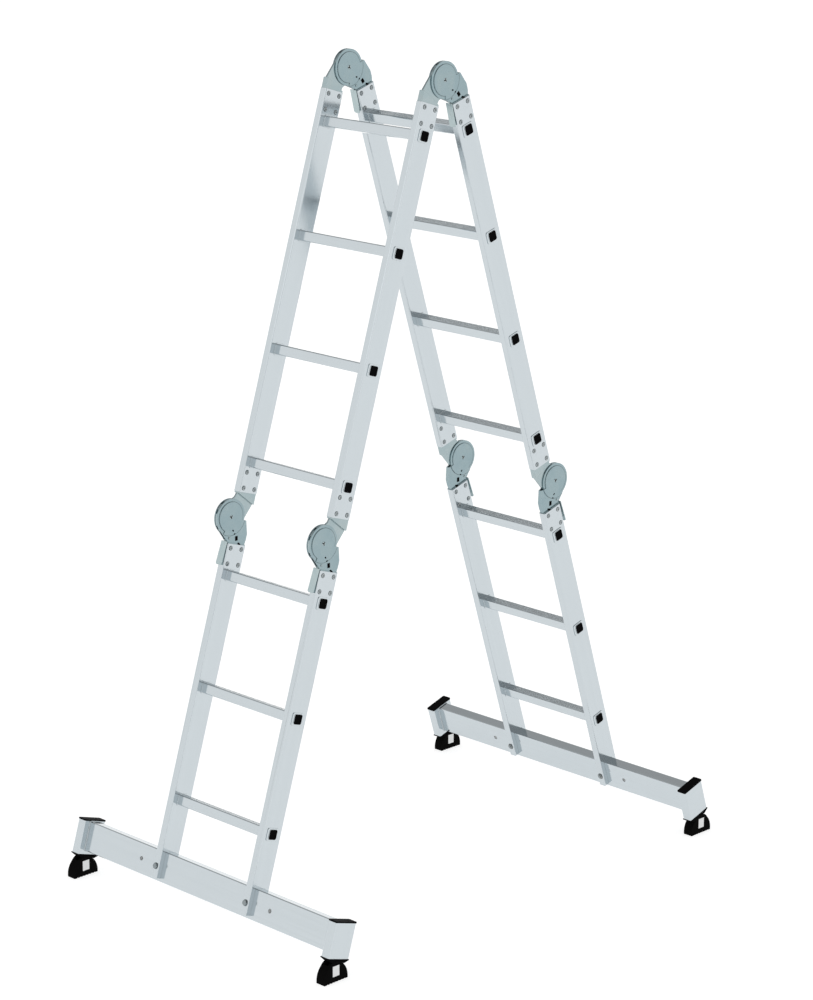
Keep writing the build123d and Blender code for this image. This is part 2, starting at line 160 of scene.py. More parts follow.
def rampStep(tree, factor, stops):
    made = tree.nodes.new("ShaderNodeValToRGB")
    while len(made.color_ramp.elements) < len(stops):
        made.color_ramp.elements.new(0.5)
    for element, (place, colour) in zip(made.color_ramp.elements, stops):
        element.position = place
        element.color = (*colour, 1)
    tree.links.new(factor, made.inputs["Fac"])
    return made.outputs["Color"]


def makeLegAxes():  # the same coordinates for both legs, with z running along the leg
    group, _, out = newGroup("legAxes", [], [("Along Leg", "Vector"), ("Along X", "Vector")])
    spot = addNode(group, "ShaderNodeTexCoord")["Object"]
    parts = addNode(group, "ShaderNodeSeparateXYZ", feeds={0: spot})
    folded = addNode(
        group,
        "ShaderNodeCombineXYZ",
        feeds={0: parts[0], 1: mathStep(group, "ABSOLUTE", parts[1], 0), 2: parts[2]},
    )
    turned = addNode(
        group,
        "ShaderNodeVectorRotate",
        {"rotation_type": "X_AXIS"},
        {"Angle": -ladder["lean"]},
        {"Vector": folded[0]},
    )
    group.links.new(turned[0], out["Along Leg"])
    again = addNode(group, "ShaderNodeSeparateXYZ", feeds={0: turned[0]})
    swapped = addNode(group, "ShaderNodeCombineXYZ", feeds={0: again[2], 1: again[1], 2: again[0]})
    group.links.new(swapped[0], out["Along X"])
    return group


def makeDrawnLines():  # the fine lines a die leaves along an extrusion
    group, given, out = newGroup(
        "drawnLines",
        [
            ("Vector", "Vector", None),
            ("Spacing", "Float", 700.0),
            ("Depth", "Float", 0.2),
            ("Normal", "Vector", None),
        ],
        [("Lines", "Float"), ("Normal", "Vector")],
    )
    stretched = addNode(
        group, "ShaderNodeVectorMath", {"operation": "MULTIPLY"}, {1: (1, 1, 0.012)}, {0: given["Vector"]}
    )
    fine = addNode(
        group,
        "ShaderNodeTexNoise",
        None,
        {"Detail": 3.0, "Roughness": 0.65},
        {"Vector": stretched[0], "Scale": given["Spacing"]},
    )
    wide = addNode(
        group, "ShaderNodeTexNoise", None, {"Scale": 95.0, "Detail": 2.0}, {"Vector": stretched[0]}
    )
    lines = mathStep(
        group,
        "ADD",
        mathStep(group, "MULTIPLY", fine["Fac"], 0.65),
        mathStep(group, "MULTIPLY", wide["Fac"], 0.35),
    )
    group.links.new(lines, out["Lines"])
    bump = addNode(
        group,
        "ShaderNodeBump",
        None,
        {"Distance": 0.0002},
        {"Strength": given["Depth"], "Height": lines, "Normal": given["Normal"]},
    )
    group.links.new(bump[0], out["Normal"])
    return group


def makeHandling():  # soft marks from hands and storage
    group, given, out = newGroup(
        "handling",
        [("Vector", "Vector", None), ("Size", "Float", 9.0), ("Amount", "Float", 0.5)],
        [("Marks", "Float"), ("Scratches", "Float")],
    )
    cloud = addNode(
        group,
        "ShaderNodeTexNoise",
        None,
        {"Detail": 5.0, "Roughness": 0.6, "Distortion": 0.4},
        {"Vector": given["Vector"], "Scale": given["Size"]},
    )
    marks = addNode(
        group, "ShaderNodeMapRange", None, {"From Min": 0.42, "From Max": 0.72}, {"Value": cloud["Fac"]}
    )
    group.links.new(mathStep(group, "MULTIPLY", marks[0], given["Amount"]), out["Marks"])
    bent = addNode(
        group,
        "ShaderNodeVectorMath",
        {"operation": "MULTIPLY"},
        {1: (1.0, 0.35, 0.08)},
        {0: given["Vector"]},
    )
    streak = addNode(
        group,
        "ShaderNodeTexNoise",
        None,
        {"Scale": 260.0, "Detail": 2.0, "Distortion": 1.2},
        {"Vector": bent[0]},
    )
    sharp = addNode(
        group, "ShaderNodeMapRange", None, {"From Min": 0.70, "From Max": 0.76}, {"Value": streak["Fac"]}
    )
    group.links.new(mathStep(group, "MULTIPLY", sharp[0], given["Amount"]), out["Scratches"])
    return group


def makeEdgeWear():  # where a corner is rubbed bright
    group, given, out = newGroup(
        "edgeWear",
        [("Width", "Float", 0.0008), ("Breakup", "Float", 60.0)],
        [("Edge", "Float"), ("Soft Normal", "Vector")],
    )
    soft = addNode(group, "ShaderNodeBevel", {"samples": 4}, None, {"Radius": given["Width"]})
    flat = addNode(group, "ShaderNodeNewGeometry")["Normal"]
    match = addNode(
        group, "ShaderNodeVectorMath", {"operation": "DOT_PRODUCT"}, None, {0: soft[0], 1: flat}
    )
    edge = addNode(
        group, "ShaderNodeMapRange", None, {"From Min": 0.995, "From Max": 0.86}, {"Value": match["Value"]}
    )
    spot = addNode(group, "ShaderNodeTexCoord")["Object"]
    broken = addNode(
        group, "ShaderNodeTexNoise", None, {"Detail": 3.0}, {"Vector": spot, "Scale": given["Breakup"]}
    )
    kept = addNode(
        group, "ShaderNodeMapRange", None, {"From Min": 0.3, "From Max": 0.6}, {"Value": broken["Fac"]}
    )
    group.links.new(mathStep(group, "MULTIPLY", edge[0], kept[0]), out["Edge"])
    group.links.new(soft[0], out["Soft Normal"])
    return group


def makePaintedCornerShade():  # painted shade darkening corners, recesses and the gaps between parts, found by an ambient occlusion test
    group, given, out = newGroup(
        "paintedCornerShade", [("Reach", "Float", 0.006), ("Strength", "Float", 1.0)], [("Shade", "Float")]
    )
    open_ = addNode(group, "ShaderNodeAmbientOcclusion", {"samples": 6}, None, {"Distance": given["Reach"]})
    shade = addNode(
        group, "ShaderNodeMapRange", None, {"From Min": 0.95, "From Max": 0.35}, {"Value": open_["AO"]}
    )
    group.links.new(mathStep(group, "MULTIPLY", shade[0], given["Strength"]), out["Shade"])
    return group


def makePlatedCloud():  # zinc plating: fine crystals under a cloudy passivated film
    group, given, out = newGroup(
        "platedCloud",
        [
            ("Vector", "Vector", None),
            ("Crystal", "Float", 420.0),
            ("Cloud", "Float", 22.0),
            ("Normal", "Vector", None),
        ],
        [("Crystals", "Float"), ("Film", "Float"), ("Normal", "Vector")],
    )
    crystal = addNode(
        group,
        "ShaderNodeTexVoronoi",
        {"feature": "F1"},
        None,
        {"Vector": given["Vector"], "Scale": given["Crystal"]},
    )
    film = addNode(
        group,
        "ShaderNodeTexNoise",
        None,
        {"Detail": 6.0, "Roughness": 0.62, "Distortion": 0.8},
        {"Vector": given["Vector"], "Scale": given["Cloud"]},
    )
    group.links.new(crystal["Distance"], out["Crystals"])
    group.links.new(film["Fac"], out["Film"])
    bump = addNode(
        group,
        "ShaderNodeBump",
        None,
        {"Strength": 0.08, "Distance": 0.0002},
        {"Height": crystal["Distance"], "Normal": given["Normal"]},
    )
    group.links.new(bump[0], out["Normal"])
    return group


def makeMouldGrain():  # the spark-eroded grain of moulded plastic and rubber
    group, given, out = newGroup(
        "mouldGrain",
        [
            ("Vector", "Vector", None),
            ("Fineness", "Float", 900.0),
            ("Depth", "Float", 0.3),
            ("Normal", "Vector", None),
        ],
        [("Grain", "Float"), ("Bloom", "Float"), ("Normal", "Vector")],
    )
    pebble = addNode(
        group,
        "ShaderNodeTexVoronoi",
        {"feature": "SMOOTH_F1"},
        None,
        {"Vector": given["Vector"], "Scale": given["Fineness"]},
    )
    bloom = addNode(
        group,
        "ShaderNodeTexNoise",
        None,
        {"Scale": 35.0, "Detail": 5.0, "Roughness": 0.6},
        {"Vector": given["Vector"]},
    )
    group.links.new(pebble["Distance"], out["Grain"])
    group.links.new(bloom["Fac"], out["Bloom"])
    bump = addNode(
        group,
        "ShaderNodeBump",
        None,
        {"Distance": 0.0003},
        {"Strength": given["Depth"], "Height": pebble["Distance"], "Normal": given["Normal"]},
    )
    group.links.new(bump[0], out["Normal"])
    return group


groups = {
    "legAxes": makeLegAxes(),
    "drawnLines": makeDrawnLines(),
    "handling": makeHandling(),
    "edgeWear": makeEdgeWear(),
    "paintedCornerShade": makePaintedCornerShade(),
    "platedCloud": makePlatedCloud(),
    "mouldGrain": makeMouldGrain(),
}


def placeGroup(tree, name, values=None, feeds=None):
    made = tree.nodes.new("ShaderNodeGroup")
    made.node_tree = groups[name]
    for key, value in (values or {}).items():
        made.inputs[key].default_value = value
    for key, socket in (feeds or {}).items():
        tree.links.new(socket, made.inputs[key])
    return made.outputs


def mixColours(tree, factor, first, second):
    made = tree.nodes.new("ShaderNodeMix")
    made.data_type = "RGBA"
    for socket, value in ((made.inputs[0], factor), (made.inputs[6], first), (made.inputs[7], second)):
        if isinstance(value, (int, float)):
            socket.default_value = value
        elif isinstance(value, tuple):
            socket.default_value = (*value, 1)
        else:
            tree.links.new(value, socket)
    return made.outputs[2]


def newMaterial(name, **constants):
    material = bpy.data.materials.new(name)
    material.use_nodes = True
    shader = material.node_tree.nodes["Principled BSDF"]
    for key, value in constants.items():
        shader.inputs[key.replace("_", " ")].default_value = value
    return material, material.node_tree, shader.inputs


def rangeStep(tree, value, low, high, start=0.0, stop=1.0):
    return addNode(
        tree,
        "ShaderNodeMapRange",
        None,
        {"From Min": start, "From Max": stop, "To Min": low, "To Max": high},
        {"Value": value},
    )[0]


def aluminium(name, along, look):
    material, tree, shader = newMaterial(name, Metallic=1.0, IOR=1.5)
    vector = placeGroup(tree, "legAxes")[along]
    corner = placeGroup(tree, "edgeWear", {"Width": look["edgeWidth"]})
    lines = placeGroup(
        tree,
        "drawnLines",
        {"Spacing": look["lineSpacing"], "Depth": look["lineDepth"]},
        {"Vector": vector, "Normal": corner["Soft Normal"]},
    )
    marks = placeGroup(
        tree, "handling", {"Size": look["markSize"], "Amount": look["markAmount"]}, {"Vector": vector}
    )
    shade = placeGroup(tree, "paintedCornerShade", {"Reach": look["shadeReach"], "Strength": look["shade"]})["Shade"]
    tone = rampStep(tree, lines["Lines"], [(0.30, look["darkLine"]), (0.68, look["colour"])])
    worn = mixColours(tree, marks["Marks"], tone, look["markColour"])
    bright = mixColours(tree, corner["Edge"], worn, look["edgeColour"])
    # painted shade: the colour is pulled toward shadeColour where the corner-shade mask is strong
    tree.links.new(mixColours(tree, shade, bright, look["shadeColour"]), shader["Base Color"])
    rough = mathStep(
        tree,
        "ADD",
        rangeStep(tree, lines["Lines"], *look["roughness"]),
        mathStep(tree, "MULTIPLY", marks["Marks"], 0.12),
    )
    tree.links.new(
        mathStep(tree, "SUBTRACT", rough, mathStep(tree, "MULTIPLY", marks["Scratches"], 0.1)),
        shader["Roughness"],
    )
    tree.links.new(lines["Normal"], shader["Normal"])
    return material


railLook = {
    "colour": (0.580, 0.630, 0.657),
    "darkLine": (0.556, 0.607, 0.634),
    "markColour": (0.56, 0.60, 0.62),
    "edgeColour": (0.66, 0.71, 0.73),
    "shadeColour": (0.30, 0.33, 0.34),
    "shade": 0.2,
    "shadeReach": 2.5 * mm,
    "roughness": (0.07, 0.17),
    "lineSpacing": 650.0,
    "lineDepth": 0.10,
    "markSize": 7.0,
    "markAmount": 0.22,
    "edgeWidth": 0.9 * mm,
}
rungLook = dict(
    railLook,
    lineSpacing=820.0,
    roughness=(0.08, 0.18),
    shade=0.35,
    shadeReach=1.5 * mm,
    markAmount=0.32,
    markSize=14.0,
)
beamLook = dict(railLook, lineSpacing=520.0, markSize=5.0, roughness=(0.06, 0.16))
postLook = dict(beamLook, lineSpacing=600.0, markAmount=0.28)


def platedSteel(name, look):
    material, tree, shader = newMaterial(name, Metallic=1.0, IOR=1.5)
    vector = placeGroup(tree, "legAxes")["Along Leg"]
    corner = placeGroup(tree, "edgeWear", {"Width": look["edgeWidth"], "Breakup": 140.0})
    plate = placeGroup(
        tree,
        "platedCloud",
        {"Crystal": look["crystal"], "Cloud": look["cloud"]},
        {"Vector": vector, "Normal": corner["Soft Normal"]},
    )
    marks = placeGroup(tree, "handling", {"Size": 30.0, "Amount": look["marks"]}, {"Vector": vector})
    shade = placeGroup(tree, "paintedCornerShade", {"Reach": look["shadeReach"], "Strength": look["shade"]})["Shade"]
    film = rampStep(
        tree, plate["Film"], [(0.32, look["cold"]), (0.52, look["colour"]), (0.72, look["warm"])]
    )
    grainy = mixColours(tree, rangeStep(tree, plate["Crystals"], 0.0, 0.16), film, look["cold"])
    bright = mixColours(tree, mathStep(tree, "MULTIPLY", corner["Edge"], 0.75), grainy, look["edgeColour"])
    # painted shade: the colour is pulled toward shadeColour where the corner-shade mask is strong
    tree.links.new(mixColours(tree, shade, bright, look["shadeColour"]), shader["Base Color"])
    rough = mathStep(
        tree,
        "ADD",
        rangeStep(tree, plate["Film"], *look["roughness"], 0.3, 0.75),
        mathStep(tree, "MULTIPLY", marks["Marks"], 0.15),
    )
    tree.links.new(rough, shader["Roughness"])
    tree.links.new(plate["Normal"], shader["Normal"])
    return material


hingeLook = {
    "colour": (0.300, 0.390, 0.415),
    "cold": (0.272, 0.364, 0.392),
    "warm": (0.328, 0.412, 0.428),
    "edgeColour": (0.56, 0.64, 0.65),
    "shadeColour": (0.060, 0.085, 0.090),
    "shade": 0.15,
    "shadeReach": 2 * mm,
    "roughness": (0.14, 0.28),
    "crystal": 420.0,
    "cloud": 24.0,
    "marks": 0.4,
    "edgeWidth": 0.7 * mm,
}
leafLook = dict(
    hingeLook, colour=(0.375, 0.455, 0.470), cold=(0.345, 0.43, 0.45), warm=(0.405, 0.475, 0.485)
)
leverLook = dict(
    hingeLook, colour=(0.435, 0.52, 0.53), cold=(0.40, 0.49, 0.505), warm=(0.465, 0.54, 0.545), cloud=40.0
)
rivetLook = dict(
    hingeLook,
    colour=(0.40, 0.44, 0.45),
    cold=(0.36, 0.40, 0.42),
    warm=(0.44, 0.47, 0.48),
    shadeColour=(0.02, 0.025, 0.03),
    shadeReach=2.5 * mm,
    shade=1.0,
    edgeWidth=0.3 * mm,
)
boltLook = dict(
    rivetLook,
    colour=(0.27, 0.30, 0.31),
    cold=(0.23, 0.27, 0.29),
    warm=(0.31, 0.31, 0.28),
    shadeReach=4 * mm,
)
pinLook = dict(
    hingeLook,
    colour=(0.36, 0.43, 0.44),
    cold=(0.33, 0.41, 0.43),
    warm=(0.40, 0.45, 0.45),
    shadeReach=1.5 * mm,
    edgeWidth=0.3 * mm,
)
# painted shade: a dark finish for the shadow bands on the rivets and round the cover discs
shadowBandLook = dict(
    hingeLook,
    colour=(0.06, 0.075, 0.08),
    cold=(0.05, 0.065, 0.07),
    warm=(0.08, 0.09, 0.09),
    edgeColour=(0.10, 0.12, 0.12),
    roughness=(0.35, 0.5),
)
springLook = dict(
    hingeLook,
    colour=(0.20, 0.21, 0.23),
    cold=(0.15, 0.18, 0.24),
    warm=(0.26, 0.24, 0.20),
    edgeWidth=0.2 * mm,
)


def moulded(name, look):
    material, tree, shader = newMaterial(
        name, Metallic=0.0, IOR=look["ior"], Specular_IOR_Level=look["gloss"]
    )
    vector = placeGroup(tree, "legAxes")["Along Leg"]
    corner = placeGroup(tree, "edgeWear", {"Width": look["edgeWidth"], "Breakup": 90.0})
    skin = placeGroup(
        tree,
        "mouldGrain",
        {"Fineness": look["grain"], "Depth": look["depth"]},
        {"Vector": vector, "Normal": corner["Soft Normal"]},
    )
    shade = placeGroup(tree, "paintedCornerShade", {"Reach": look["shadeReach"], "Strength": look["shade"]})["Shade"]
    tone = rampStep(tree, skin["Bloom"], [(0.3, look["colour"]), (0.75, look["bloomColour"])])
    rubbed = mixColours(
        tree, mathStep(tree, "MULTIPLY", corner["Edge"], look["edgeAmount"]), tone, look["edgeColour"]
    )
    # painted shade: the colour is pulled toward shadeColour where the corner-shade mask is strong
    tree.links.new(mixColours(tree, shade, rubbed, look["shadeColour"]), shader["Base Color"])
    rough = mathStep(
        tree,
        "ADD",
        rangeStep(tree, skin["Bloom"], *look["roughness"], 0.3, 0.7),
        mathStep(tree, "MULTIPLY", skin["Grain"], 0.1),
    )
    tree.links.new(rough, shader["Roughness"])
    tree.links.new(skin["Normal"], shader["Normal"])
    return material


blackLook = {
    "colour": (0.0012, 0.0012, 0.0014),
    "bloomColour": (0.0025, 0.0025, 0.0028),
    "edgeColour": (0.016, 0.016, 0.017),
    "shadeColour": (0.001, 0.001, 0.001),
    "shade": 0.8,
    "shadeReach": 4 * mm,
    "edgeAmount": 0.5,
    "edgeWidth": 0.5 * mm,
    "roughness": (0.42, 0.60),
    "grain": 950.0,
    "depth": 0.25,
    "ior": 1.42,
    "gloss": 0.02,
}
shoeLook = dict(
    blackLook,
    colour=(0.0022, 0.0022, 0.0022),
    bloomColour=(0.0045, 0.0045, 0.0042),
    roughness=(0.62, 0.82),
    grain=700.0,
    depth=0.4,
    edgeColour=(0.012, 0.012, 0.012),
)
paleLook = dict(
    blackLook,
    colour=(0.76, 0.77, 0.77),
    bloomColour=(0.70, 0.71, 0.71),
    edgeColour=(0.86, 0.86, 0.86),
    shadeColour=(0.50, 0.51, 0.51),
    shade=0.25,
    shadeReach=2 * mm,
    roughness=(0.35, 0.5),
    edgeAmount=0.4,
    gloss=0.5,
)
# painted shade: flat black for fillers set where the hinge is only in shadow
shadeFillLook = dict(
    blackLook,
    colour=(0.002, 0.002, 0.002),
    bloomColour=(0.004, 0.004, 0.004),
    roughness=(0.7, 0.9),
    depth=0.15,
)

finishes = {
    "rail": aluminium("railAluminium", "Along Leg", railLook),
    "rung": aluminium("rungAluminium", "Along X", rungLook),
    "beam": aluminium("beamAluminium", "Along X", beamLook),
    "weld": aluminium(
        "weldAluminium",
        "Along Leg",
        dict(postLook, lineSpacing=240.0, roughness=(0.38, 0.6), colour=(0.55, 0.59, 0.61)),
    ),
    "hinge": platedSteel("hingeZinc", hingeLook),
    "leaf": platedSteel("leafZinc", leafLook),
    "lever": platedSteel("leverZinc", leverLook),
    "rivet": platedSteel("rivetAlloy", rivetLook),
    "bolt": platedSteel("boltZinc", boltLook),
    "pin": platedSteel("pinZinc", pinLook),
    "spring": platedSteel("springSteel", springLook),
    "shadowBand": platedSteel("paintedShadowBand", shadowBandLook),
    "black": moulded("blackNylon", blackLook),
    "shoe": moulded("shoeRubber", shoeLook),
    "pale": moulded("paleNylon", paleLook),
    "stop": moulded("paintedShadeBlack", shadeFillLook),
}
print("finishes made:", len(finishes))


# mesh helpers
sharpAngle = math.radians(38)


def circleRing(radius, height, steps=24, dent=None):
    ring = []
    for i in range(steps):
        turn = math.tau * i / steps
        lift = dent(turn) if dent else 0
        ring.append(Vector((radius * math.cos(turn), radius * math.sin(turn), height + lift)))
    return ring


def hexRing(flats, height, steps=24):
    ring = []
    for i in range(steps):
        turn = math.tau * i / steps
        reach = flats / 2 / math.cos((turn % (math.pi / 3)) - math.pi / 6)
        ring.append(Vector((reach * math.cos(turn), reach * math.sin(turn), height)))
    return ring


def roundedRing(width, depth, radius, height, steps=6):
    ring = []
    for quarter in range(4):
        centreX = (width / 2 - radius) * (1, -1, -1, 1)[quarter]
        centreY = (depth / 2 - radius) * (1, 1, -1, -1)[quarter]
        for i in range(steps + 1):
            turn = math.pi / 2 * (quarter + i / steps)
            ring.append(
                Vector((centreX + radius * math.cos(turn), centreY + radius * math.sin(turn), height))
            )
    return ring


# skins a row of rings, capped unless they close on themselves
def stackRings(mesh, place, rings, closed=False, finish=0):
    rows = [[mesh.verts.new(place @ point) for point in ring] for ring in rings]
    count = len(rows[0])
    pairs = list(zip(rows, rows[1:])) + ([(rows[-1], rows[0])] if closed else [])
    faces = []
    for lower, upper in pairs:
        for i in range(count):
            faces.append(
                mesh.faces.new((lower[i], lower[(i + 1) % count], upper[(i + 1) % count], upper[i]))
            )
    if not closed:
        faces.append(mesh.faces.new(rows[0]))
        faces.append(mesh.faces.new(rows[-1]))
    for face in faces:
        face.material_index = finish
        face.smooth = True
    return faces


def finishPiece(name, mesh, body, slot, *materials, replaces=()):
    bmesh.ops.recalc_face_normals(mesh, faces=mesh.faces)
    data = bpy.data.meshes.new(name)
    mesh.to_mesh(data)
    mesh.free()
    for material in materials:
        data.materials.append(finishes[material])
    piece = bpy.data.objects.new(name, data)
    bpy.context.scene.collection.objects.link(piece)
    data.set_sharp_from_angle(angle=sharpAngle)
    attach(piece, body)
    if replaces:
        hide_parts(*replaces)


# blind rivets through the rails and the hinge inserts
rivet = {
    "shank": 2.5 * mm,
    "head": 5.2 * mm,
    "height": 1.5 * mm,
    # outer radius of the head's dark skirt, a painted shadow band
    "shadowBand": 5.9 * mm,
    "bore": 2.3 * mm,
    "mandrel": 1.3 * mm,
    "steps": 24,
}


def rivetRings():
    half = ladder["railHalfWidth"]
    top = half + rivet["height"]
    outline = [
        (0.2 * mm, top - 0.55 * mm),
        (rivet["mandrel"], top - 0.6 * mm),
        (rivet["mandrel"], top - 1.3 * mm),
        (rivet["bore"], top - 1.3 * mm),
        (rivet["bore"], top - 0.15 * mm),
        (rivet["bore"] + 0.25 * mm, top),
        (3.1 * mm, top - 0.08 * mm),
        (3.9 * mm, top - 0.4 * mm),
        (4.6 * mm, top - 0.85 * mm),
        (rivet["head"], top - 1.15 * mm),
        (rivet["shadowBand"], top - 1.3 * mm),
        (rivet["shadowBand"], half),
        (rivet["shank"], half),
    ]
    rings = [circleRing(radius, height, rivet["steps"]) for radius, height in outline]
    return rings + [circleRing(radius, -height, rivet["steps"]) for radius, height in reversed(outline)]


rivetShape = rivetRings()
for section in sections:
    mesh = bmesh.new()
    for endName in railEnds[section]:
        for side in sideSign.values():
            for row in ladder["rivetRows"]:
                for offset in (-ladder["rivetOffset"], ladder["rivetOffset"]):
                    spot = atHinge(endName, side * ladder["railX"], railOffset(endName) + offset, row)
                    faces = stackRings(mesh, spot, rivetShape)
                    rows = len(rivetShape) - 1
                    for i, face in enumerate(faces[:-2]):  # painted shade: the bore and the skirt round the head are dark
                        if min(i // rivet["steps"], rows - 1 - i // rivet["steps"]) in (1, 2, 3, 8, 9, 10):
                            face.material_index = 1
    finishPiece(
        section + "_blindRivets", mesh, section, "rivet", "rivet", "shadowBand", replaces=[section + "_rivets"]
    )
print("rivets made")

# moulded end plugs in the rungs
plug = {
    "size": 24.2 * mm,
    "radius": 4.6 * mm,
    "face": 175.8 * mm,
    "seat": 174.6 * mm,
    "spigot": 12 * mm,
    "inner": 21.6 * mm,
    "panel": 15 * mm,
    "gate": 175.35 * mm,  # the small stub the mould leaves at the middle
    "gateRings": [(1.3 * mm, -0.2 * mm), (1.2 * mm, 0.22 * mm), (0.7 * mm, 0.3 * mm)],
}


def plugRings():
    face, seat = plug["face"], plug["seat"]
    size, radius = plug["size"], plug["radius"]
    inner = plug["inner"]
    rows = [
        (plug["panel"] - 1.2 * mm, 1.4 * mm, face - 0.45 * mm),
        (plug["panel"], 2.0 * mm, face - 0.4 * mm),
        (plug["panel"] + 0.9 * mm, 2.4 * mm, face - 0.02 * mm),
        (size - 1.6 * mm, radius - 0.6 * mm, face),
        (size - 0.5 * mm, radius - 0.1 * mm, face - 0.18 * mm),
        (size, radius, face - 0.65 * mm),
        (size, radius, seat),
        (inner, 1.5 * mm, seat),
        (inner, 1.5 * mm, seat - plug["spigot"] + 1 * mm),
        (inner - 1.2 * mm, 1.2 * mm, seat - plug["spigot"]),
        (inner - 4 * mm, 1.0 * mm, seat - plug["spigot"]),
        (inner - 4 * mm, 1.0 * mm, seat - 2 * mm),
    ]
    return [roundedRing(width, width, corner, height) for width, corner, height in rows]


plugShape = plugRings()
for section in sections:
    leg = legSign[section.split("_")[0]]
    mesh = bmesh.new()
    for level in ladder["rungLevels"][section.split("_")[1]]:
        for side in sideSign.values():
            spot = axes(
                onLeg(leg, 0, ladder["railCentre"], level), outward(leg), downLeg(leg), Vector((side, 0, 0))
            )
            stackRings(mesh, spot, plugShape)
            stackRings(mesh, spot, [circleRing(r, plug["gate"] + h, 12) for r, h in plug["gateRings"]])
    finishPiece(
        section + "_endPlugs", mesh, section, "black_plastic", "black", replaces=[section + "_rung_plugs"]
    )
print("rung plugs made")

# hinge pins with staked heads, and the levers' pivots
pin = {
    "radius": 5 * mm,
    "half": 7.3 * mm,
    "pivotSpot": (9 * mm, 52 * mm),
    "stakes": 3,
    "stakeDepth": 0.9 * mm,
    "steps": 36,
    "markReach": 2.55 * mm,
    "mark": (4.6 * mm, 2.4 * mm, 1.0 * mm),
}


def stakeDent(turn):
    share = (turn * pin["stakes"] / math.tau) % 1
    return -pin["stakeDepth"] if abs(share - 0.5) < 0.16 else 0


def pinEnd(mesh, spot):
    half, radius = pin["half"], pin["radius"]
    steps = pin["steps"]
    rim = [
        circleRing(radius, half - 2 * mm, steps),
        circleRing(radius, half - 0.4 * mm, steps),
        circleRing(radius - 0.45 * mm, half, steps),
        circleRing(4.0 * mm, half, steps),
    ]
    stackRings(
        mesh,
        spot,
        rim + [
            circleRing(3.7 * mm, half - 0.05 * mm, steps, stakeDent),
            circleRing(1.0 * mm, half - 0.1 * mm, steps, stakeDent),
        ],
    )
    for i in range(pin["stakes"]):  # painted shade: the floor of each stake mark is dark
        turn = math.tau * (i + 0.5) / pin["stakes"]
        middle = spot @ Matrix.Rotation(turn, 4, "Z") @ Matrix.Translation((pin["markReach"], 0, half))
        stackRings(
            mesh, middle, [roundedRing(*pin["mark"], height) for height in (-0.5 * mm, 0.02 * mm)], finish=1
        )


for hinge, (endName, body) in hinges.items():
    mesh = bmesh.new()
    for side in sideSign.values():
        x = side * ladder["railX"]
        for face in (-1, 1):
            pinEnd(mesh, atHinge(endName, x, 0, 0, face))
        stackRings(
            mesh,
            atHinge(endName, x, 0, 0),
            [
                circleRing(pin["radius"], h, pin["steps"])
                for h in (-pin["half"] + 1 * mm, pin["half"] - 1 * mm)
            ],
        )
        length = pin["half"]
        outline = [(0.5, 0.25), (1.1, 0.15), (1.3, 0.0), (1.9, 0.0), (2.5, 0.5)]
        rings = [circleRing(r * mm, length - drop * mm, 20) for r, drop in outline]
        rings += [circleRing(r * mm, -length + drop * mm, 20) for r, drop in reversed(outline)]
        stackRings(mesh, atHinge(endName, x, *pin["pivotSpot"]), rings)
    finishPiece(
        hinge + "_stakedPins", mesh, body, "pin_steel", "pin", "stop", replaces=[hinge + "_hinge_pins"]
    )
print("hinge pins made")

# painted shade: black fillers behind the lock windows and the corner hole, where the case is in shadow
# inside, and dark patches for the shade in the pressed marks on the covers
lockShadeFill = {
    "window": ([(26.8, 45.3), (35.4, 42.4), (39.2, 53.6), (30.6, 56.5)], 5.45),  # outline, front height
    "corner": ([(43.5, 58.8), (38.2, 63.85), (49.2, 63.85)], 8.1),
    "gap": 0.12,
    "back": 2.85,
    # spot, length, width, turn, face height
    "marks": [((15.5, 32.0), 6.0, 3.4, 28, 7.0), ((22.5, 39.5), 5.0, 3.4, -35, 7.0)],
}


def shrunkRing(points, inset, height):
    centre = Vector((sum(p[0] for p in points), sum(p[1] for p in points))) / len(points)
    ring = []
    for p in points:
        reach = Vector(p) - centre
        near = centre + reach * (1 - inset / reach.length * 1.3)
        ring.append(Vector((near.x, near.y, height)) * mm)
    return ring


for hinge, (endName, body) in hinges.items():
    for sideName, side in sideSign.items():
        mesh = bmesh.new()
        for face in (-1, 1):
            spot = atHinge(endName, side * ladder["railX"], 0, 0, face)
            for hole in ("window", "corner"):
                points, front = lockShadeFill[hole]
                inset = lockShadeFill["gap"]
                rings = [
                    shrunkRing(points, inset, lockShadeFill["back"]),
                    shrunkRing(points, inset, front - 0.3),
                    shrunkRing(points, inset + 0.3, front),
                ]
                for shaped in stackRings(mesh, spot, rings):
                    shaped.smooth = False
            for (s, v), length, width, turn, height in lockShadeFill["marks"]:
                place = spot @ Matrix.Translation((s * mm, v * mm, 0)) @ Matrix.Rotation(
                    math.radians(turn), 4, "Z"
                )
                stackRings(
                    mesh,
                    place,
                    [
                        roundedRing(length * mm, width * mm, 1.1 * mm, h * mm, 4)
                        for h in (height - 0.6, height + 0.04)
                    ],
                )
        finishPiece(f"{hinge}_lockStops_{sideName}", mesh, body, "black_plastic", "stop")
print("lock stops made")

# painted shadow: a thin dark line round each cover's raised disc, standing in for the contact shadow at its
# step
coverShadowLine = {
    "boss": 38.0, "cam": 47.0, "camStart": 4.0, "camStop": 106.0, "width": 0.75, "face": 7.0, "lift": 0.03
}


